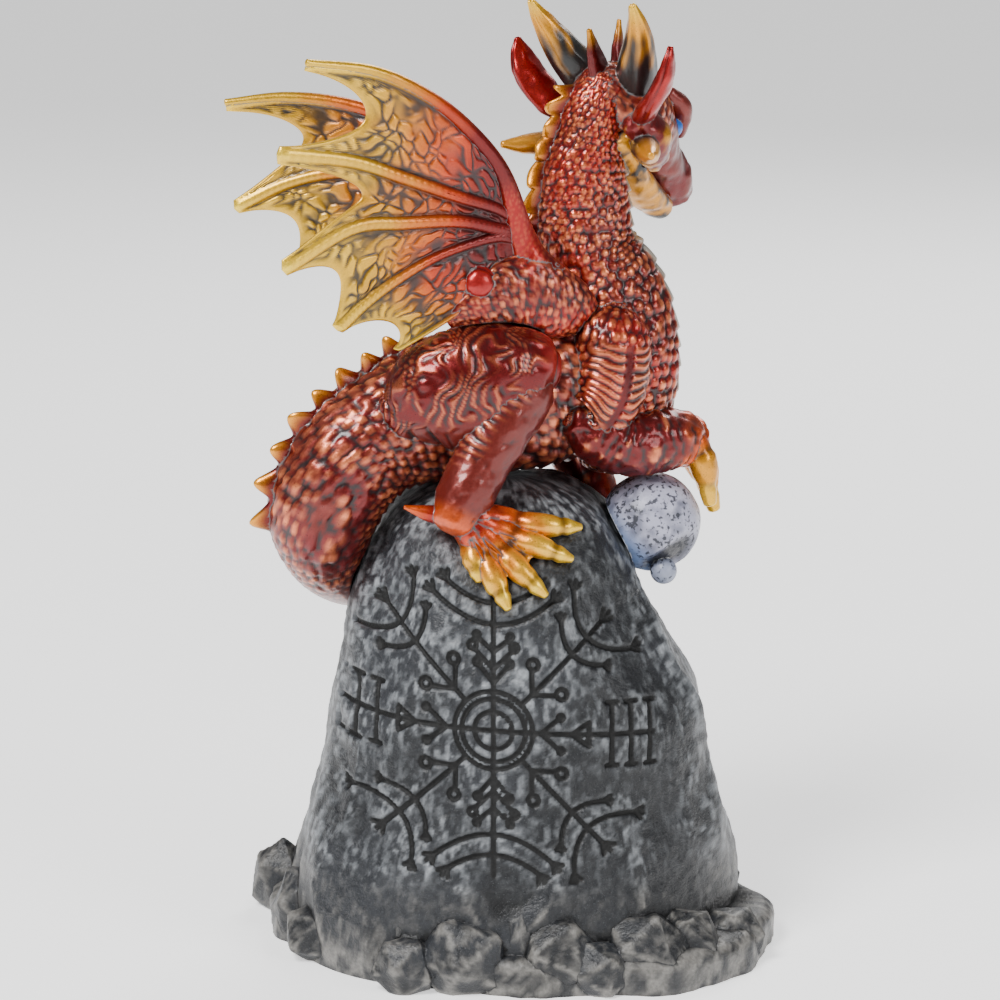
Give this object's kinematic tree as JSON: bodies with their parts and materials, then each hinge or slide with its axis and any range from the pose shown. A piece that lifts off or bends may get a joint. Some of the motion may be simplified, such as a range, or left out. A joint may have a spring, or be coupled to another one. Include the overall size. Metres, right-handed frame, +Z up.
{
  "type": "dragon figurine",
  "caption": "Painted cast figurine of a winged dragon crouching on a tall rock plinth with an engraved stave wheel, a forepaw over a pale ball.",
  "frame": {"origin": "middle of the flat underside of the plinth", "axes": "+Z up through the plinth, -Y out of the carved face, +X to the right when facing the carving"},
  "size_m": [0.0982, 0.0841, 0.1665],
  "materials": {
    "stone_paint": "charcoal paint with pale dry-brushed edges, satin",
    "crimson_paint": "metallic crimson paint with dark wash and gold tips, gloss",
    "wing_paint": "crimson at the root fading through orange to gold, dark wash, gloss",
    "pearl_paint": "pale lilac-white paint with dark specks, satin"
  },
  "bodies": {
    "root": {"rock_plinth": "stone_paint", "dragon": "crimson_paint", "wing_right": "wing_paint", "wing_left": "wing_paint", "ball": "pearl_paint"}
  },
  "joints": []
}
